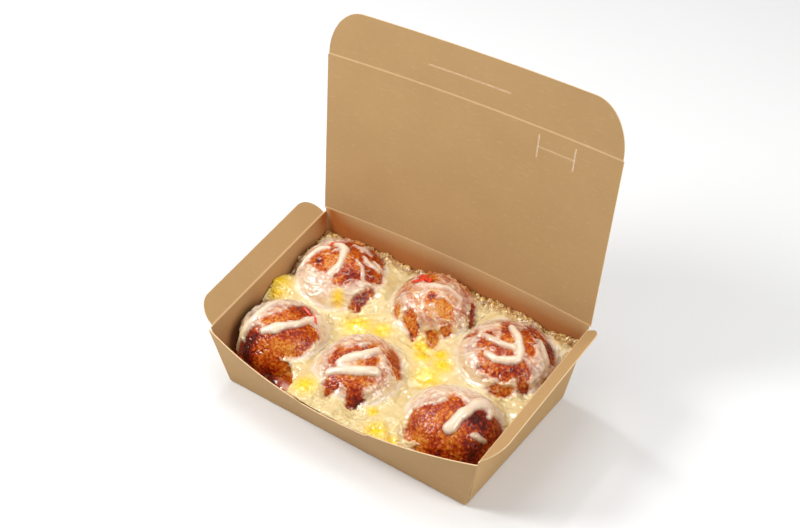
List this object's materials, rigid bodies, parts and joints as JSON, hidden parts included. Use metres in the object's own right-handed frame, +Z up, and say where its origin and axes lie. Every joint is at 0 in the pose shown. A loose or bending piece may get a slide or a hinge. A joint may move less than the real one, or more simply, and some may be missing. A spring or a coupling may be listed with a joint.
{
  "type": "takoyaki in a takeaway box",
  "caption": "Open kraft paperboard takeaway box with a hinged lid, filled with browned takoyaki balls set in melted cheese.",
  "frame": {"origin": "middle of the tray's underside, on the surface it stands on", "axes": "+X along the long front wall to the right, +Y from the front wall to the hinged lid, +Z up"},
  "size_m": [0.1639, 0.1209, 0.1509],
  "materials": {
    "kraft_board": "matte uncoated kraft board",
    "browned_crust": "browned batter crust with an oily gloss",
    "melted_cheese": "glossy melted cheese"
  },
  "bodies": {
    "tray": {"tray": "kraft_board", "ball_back_left": "browned_crust", "ball_back_middle": "browned_crust", "ball_back_right": "browned_crust", "ball_front_left": "browned_crust", "ball_front_middle": "browned_crust", "ball_front_right": "browned_crust", "melted_cheese": "melted_cheese"},
    "lid": {"lid": "kraft_board"},
    "tuck_flap": {"tuck_flap": "kraft_board"},
    "left_flap": {"left_flap": "kraft_board"},
    "right_flap": {"right_flap": "kraft_board"}
  },
  "joints": [
    {"name": "lid_crease", "type": "hinge", "parent": "tray", "child": "lid", "pos_m": [0, 0.049, 0.0418], "axis": [1, 0, 0], "range_deg": [-70, 97]},
    {"name": "tuck_crease", "type": "hinge", "parent": "lid", "child": "tuck_flap", "pos_m": [0, 0.06382, 0.12585], "axis": [1, 0, 0], "range_deg": [-60, 22]},
    {"name": "left_crease", "type": "hinge", "parent": "tray", "child": "left_flap", "pos_m": [-0.07205, 0.003, 0.0382], "axis": [-0.0216, 0.9989, 0.041], "range_deg": [-35, 136]},
    {"name": "right_crease", "type": "hinge", "parent": "tray", "child": "right_flap", "pos_m": [0.07305, 0.003, 0.0392], "axis": [0, -0.9998, -0.0195], "range_deg": [-35, 136]}
  ]
}
